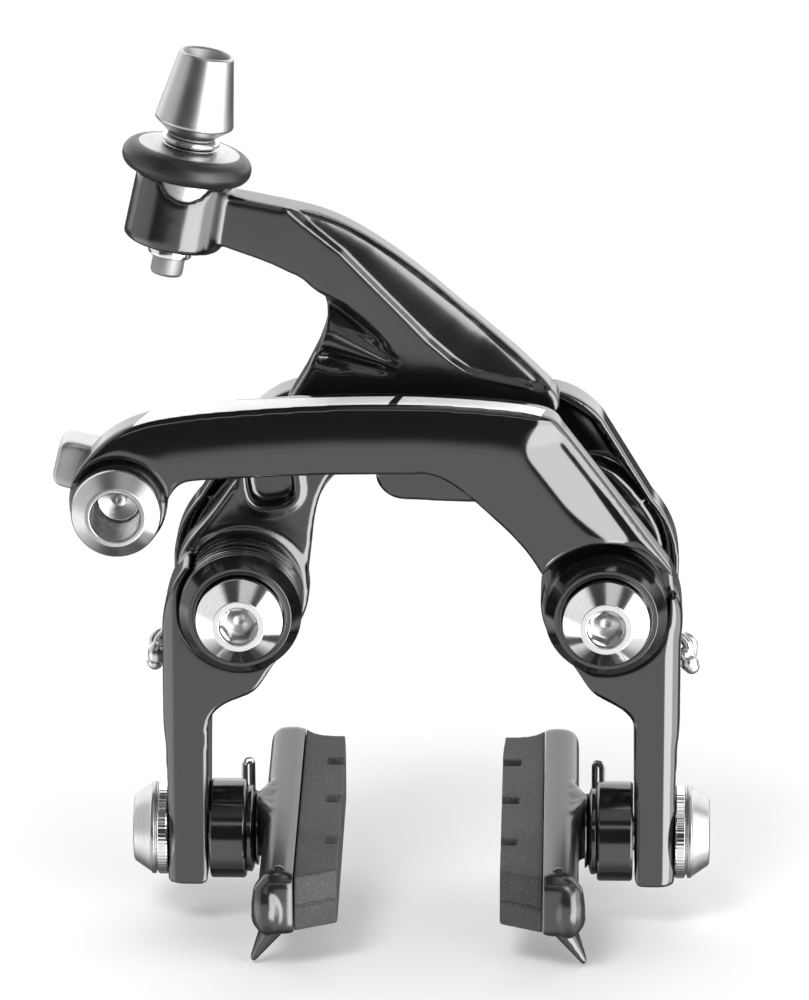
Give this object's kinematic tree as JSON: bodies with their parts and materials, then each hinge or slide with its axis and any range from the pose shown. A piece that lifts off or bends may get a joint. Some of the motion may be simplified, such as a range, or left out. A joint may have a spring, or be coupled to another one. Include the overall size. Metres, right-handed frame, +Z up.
{
  "type": "bicycle rim brake caliper",
  "caption": "Dual-pivot direct-mount rim brake caliper: curved front arm over a Y-shaped rear arm, barrel adjuster and angled pads.",
  "frame": {"origin": "midway between the two mounting bolts, on the plane that meets the fork", "axes": "+X to the viewer's right from the front, +Y along the mounting bolts into the fork, +Z up towards the cable"},
  "size_m": [0.1015, 0.0595, 0.1374],
  "materials": {
    "arm_black": "forged aluminium under gloss black lacquer",
    "cap_black": "turned, semi-gloss black anodised",
    "polished_steel": "turned and polished steel",
    "satin_alloy": "turned, satin clear anodised",
    "spring_steel": "drawn bright wire",
    "black_steel": "blackened steel",
    "bearing_plastic": "plain bearing plastic",
    "shoe_black": "cast, gloss black",
    "fin_black": "moulded gloss black",
    "grip_rubber": "smooth matte rubber",
    "pad_rubber": "grainy friction compound"
  },
  "bodies": {
    "mount_frame": {"back_bridge": "arm_black", "left_post": "polished_steel", "left_mount_bolt": "polished_steel", "left_cap": "cap_black", "left_collar": "spring_steel", "right_post": "polished_steel", "right_mount_bolt": "polished_steel", "right_cap": "cap_black", "right_collar": "spring_steel"},
    "front_arm": {"front_arm": "arm_black", "right_bush": "bearing_plastic", "right_spring": "spring_steel", "anchor_bolt": "polished_steel", "clamp_block": "satin_alloy", "anchor_nut": "spring_steel", "centring_screw": "spring_steel"},
    "rear_arm": {"rear_arm": "arm_black", "left_bush": "bearing_plastic", "left_spring": "spring_steel", "stem_guide": "bearing_plastic"},
    "adjuster": {"adjuster_wheel": "satin_alloy", "grip_ring": "grip_rubber"},
    "barrel": {"barrel": "satin_alloy", "detent_clip": "spring_steel"},
    "left_pad_mount": {"left_spacer": "cap_black", "left_nut_washer": "polished_steel", "left_pad_nut": "satin_alloy", "left_concave_washer": "black_steel"},
    "right_pad_mount": {"right_spacer": "cap_black", "right_nut_washer": "polished_steel", "right_pad_nut": "satin_alloy", "right_concave_washer": "black_steel"},
    "left_shoe": {"left_shoe": "shoe_black", "left_pad": "pad_rubber", "left_guide_fin": "fin_black", "left_pad_screw": "black_steel", "left_clip": "spring_steel", "left_pad_bolt": "spring_steel", "left_convex_washer": "black_steel"},
    "right_shoe": {"right_shoe": "shoe_black", "right_pad": "pad_rubber", "right_guide_fin": "fin_black", "right_pad_screw": "black_steel", "right_clip": "spring_steel", "right_pad_bolt": "spring_steel", "right_convex_washer": "black_steel"}
  },
  "joints": [
    {"name": "front_arm_hinge", "type": "hinge", "parent": "mount_frame", "child": "front_arm", "pos_m": [0.028, 0, 0], "axis": [0, 1, 0], "range_deg": [0, 6], "stiffness_Nm_per_rad": 0.4, "springref_deg": -57.3},
    {"name": "rear_arm_hinge", "type": "hinge", "parent": "mount_frame", "child": "rear_arm", "pos_m": [-0.028, 0, 0], "axis": [0, 1, 0], "range_deg": [-6, 0], "stiffness_Nm_per_rad": 0.4, "springref_deg": 57.3},
    {"name": "adjuster_turn", "type": "hinge", "parent": "rear_arm", "child": "adjuster", "pos_m": [-0.0364, -0.014, 0.0676], "axis": [0.1874, 0, 0.9823], "range_deg": [0, 1800]},
    {"name": "barrel_lift", "type": "slide", "parent": "rear_arm", "child": "barrel", "axis": [0.1874, 0, 0.9823], "range_m": [0, 0.005]},
    {"name": "left_pad_height", "type": "slide", "parent": "rear_arm", "child": "left_pad_mount", "axis": [0, 0, 1], "range_m": [-0.0015, 0.004]},
    {"name": "left_pad_tilt", "type": "hinge", "parent": "left_pad_mount", "child": "left_shoe", "pos_m": [-0.03, -0.0195, -0.0383], "axis": [1, 0, 0], "range_deg": [-8, 8]},
    {"name": "right_pad_height", "type": "slide", "parent": "front_arm", "child": "right_pad_mount", "axis": [0, 0, 1], "range_m": [-0.0015, 0.004]},
    {"name": "right_pad_tilt", "type": "hinge", "parent": "right_pad_mount", "child": "right_shoe", "pos_m": [0.03, -0.0195, -0.0383], "axis": [1, 0, 0], "range_deg": [-8, 8]}
  ],
  "couplings": [
    {"joint": "rear_arm_hinge", "follows": "front_arm_hinge", "ratio": -1},
    {"joint": "adjuster_turn", "follows": "barrel_lift", "rad_per_m": 6283.2}
  ]
}
